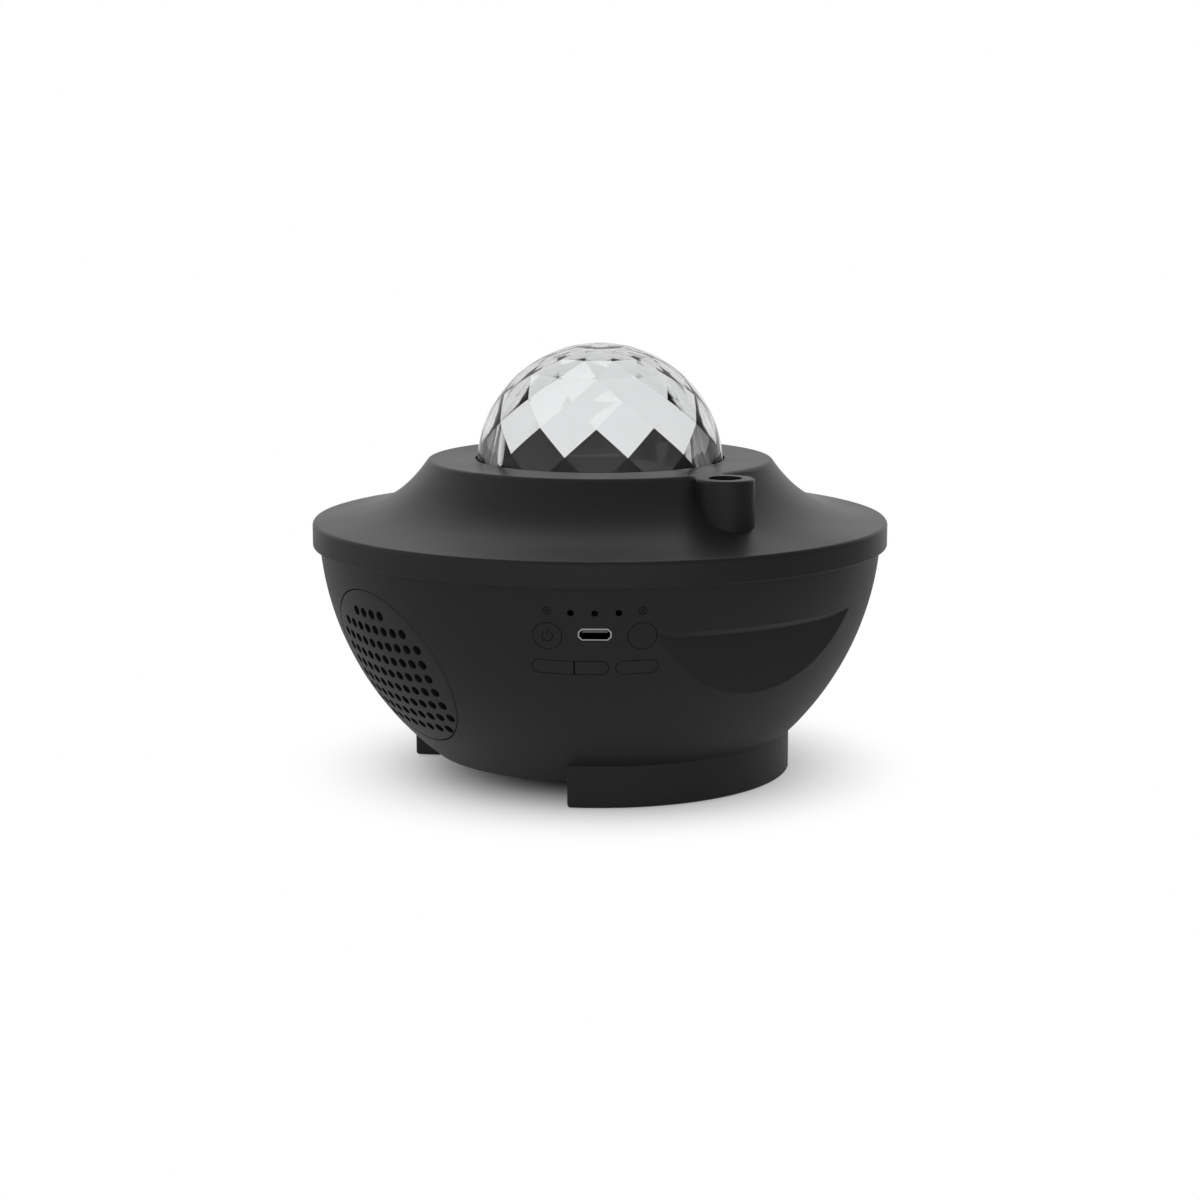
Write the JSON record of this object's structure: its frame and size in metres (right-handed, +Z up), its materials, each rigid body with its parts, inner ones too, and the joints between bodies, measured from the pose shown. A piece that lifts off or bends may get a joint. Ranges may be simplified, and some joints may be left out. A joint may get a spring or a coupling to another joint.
{
  "type": "night light projector",
  "caption": "Round tabletop night light projector: black bowl on two arc legs, flared cover with collar, faceted clear dome, laser outlet, side loudspeaker and button panel.",
  "frame": {"origin": "middle of the footprint, on the surface that the legs' pads rest on", "axes": "+Z up; -Y points to the laser outlet, the front leg and the front finger recess; -X points to the loudspeaker; the control panel faces 37 degrees from -Y towards -X"},
  "size_m": [0.168, 0.168, 0.1251],
  "materials": {
    "housing_black": "fine satin moulding",
    "inner_black": "plain moulding",
    "button_black": "fine satin moulding",
    "grille_black": "fine satin moulding",
    "clear_acrylic": "polished facets",
    "clear_rippled": "moulded ripples",
    "window_clear": "polished",
    "rubber_black": "matt",
    "silicone_grey": "matt",
    "gear_white": "moulded acetal",
    "steel": "ground",
    "steel_screw": "zinc plated",
    "shell_nickel": "nickel plated",
    "brass": "turned",
    "aluminium": "extruded",
    "board_white": "white solder mask",
    "board_green": "green solder mask",
    "chip_black": "moulded epoxy",
    "led_yellow": "phosphor",
    "capacitor_sleeve": "sleeve",
    "socket_white": "moulded nylon",
    "cloth_black": "woven mesh",
    "foam_black": "closed cell foam",
    "paper_black": "pressed paper",
    "magnet_grey": "ferrite and steel",
    "lead_grey": "sleeved wire",
    "film_clear": "ruled film"
  },
  "bodies": {
    "housing": {"bowl_housing": "housing_black", "top_cover": "housing_black", "foot_pads": "rubber_black", "case_screws": "steel_screw", "laser_window": "window_clear", "dome_lens": "clear_acrylic", "dome_retainer": "inner_black", "retainer_screws": "steel_screw", "light_chassis": "inner_black", "motor_gearbox": "steel", "drive_motor": "steel", "chassis_screws": "steel_screw", "laser_module": "brass", "laser_holder": "inner_black", "led_board": "board_white", "led_chips": "led_yellow", "led_lens": "clear_acrylic", "heat_sink": "aluminium", "led_screws": "steel_screw", "speaker_grille": "grille_black", "grille_cloth": "cloth_black", "speaker_gasket": "foam_black", "speaker_frame": "steel", "speaker_screws": "steel_screw", "speaker_magnet": "magnet_grey", "speaker_surround": "rubber_black", "usb_shell": "shell_nickel", "usb_tongue": "chip_black", "panel_board": "board_green", "panel_screws": "steel_screw", "keypad_mat": "silicone_grey", "status_lamp": "window_clear", "microphone": "aluminium", "remote_receiver": "chip_black", "main_board": "board_green", "board_screws": "steel_screw", "radio_module": "shell_nickel", "control_chips": "chip_black", "capacitors": "capacitor_sleeve", "wire_sockets": "socket_white", "speaker_lead": "lead_grey", "light_lead": "lead_grey", "motor_lead": "lead_grey", "laser_lead": "lead_grey", "panel_lead": "lead_grey"},
    "wave_wheel": {"wave_gear": "inner_black", "wave_disc": "clear_rippled"},
    "pinion": {"motor_pinion": "gear_white", "motor_shaft": "steel"},
    "grating": {"grating_gear": "gear_white", "grating_film": "film_clear"},
    "cone": {"speaker_cone": "paper_black", "dust_cap": "paper_black", "voice_coil": "brass"},
    "power": {"power_button": "button_black"},
    "light": {"light_button": "button_black"},
    "volume_down": {"volume_down_button": "button_black"},
    "play": {"play_button": "button_black"},
    "volume_up": {"volume_up_button": "button_black"}
  },
  "joints": [
    {"name": "wave_turn", "type": "hinge", "parent": "housing", "child": "wave_wheel", "pos_m": [0, 0, 0.07], "axis": [0, 0, 1], "continuous": true},
    {"name": "pinion_turn", "type": "hinge", "parent": "housing", "child": "pinion", "pos_m": [0, 0.0541, 0.07], "axis": [0, 0, 1], "continuous": true},
    {"name": "grating_turn", "type": "hinge", "parent": "housing", "child": "grating", "pos_m": [0, -0.0586, 0.07], "axis": [0, 0, 1], "continuous": true},
    {"name": "cone_stroke", "type": "slide", "parent": "housing", "child": "cone", "axis": [-0.8987, 0, -0.4386], "range_m": [-0.0008, 0.0008], "stiffness_N_per_m": 600, "deforming": ["speaker_surround"]},
    {"name": "power_press", "type": "slide", "parent": "housing", "child": "power", "axis": [0.5817, 0.7719, 0.2567], "range_m": [0, 0.0006], "stiffness_N_per_m": 400, "springref_m": -0.0008, "deforming": ["keypad_mat"]},
    {"name": "light_press", "type": "slide", "parent": "housing", "child": "light", "axis": [0.5817, 0.7719, 0.2567], "range_m": [0, 0.0006], "stiffness_N_per_m": 400, "springref_m": -0.0008, "deforming": ["keypad_mat"]},
    {"name": "volume_down_press", "type": "slide", "parent": "housing", "child": "volume_down", "axis": [0.5817, 0.7719, 0.2567], "range_m": [0, 0.0006], "stiffness_N_per_m": 400, "springref_m": -0.0008, "deforming": ["keypad_mat"]},
    {"name": "play_press", "type": "slide", "parent": "housing", "child": "play", "axis": [0.5817, 0.7719, 0.2567], "range_m": [0, 0.0006], "stiffness_N_per_m": 400, "springref_m": -0.0008, "deforming": ["keypad_mat"]},
    {"name": "volume_up_press", "type": "slide", "parent": "housing", "child": "volume_up", "axis": [0.5817, 0.7719, 0.2567], "range_m": [0, 0.0006], "stiffness_N_per_m": 400, "springref_m": -0.0008, "deforming": ["keypad_mat"]}
  ],
  "couplings": [
    {"joint": "pinion_turn", "follows": "wave_turn", "ratio": -5},
    {"joint": "grating_turn", "follows": "wave_turn", "ratio": -3.3333}
  ]
}
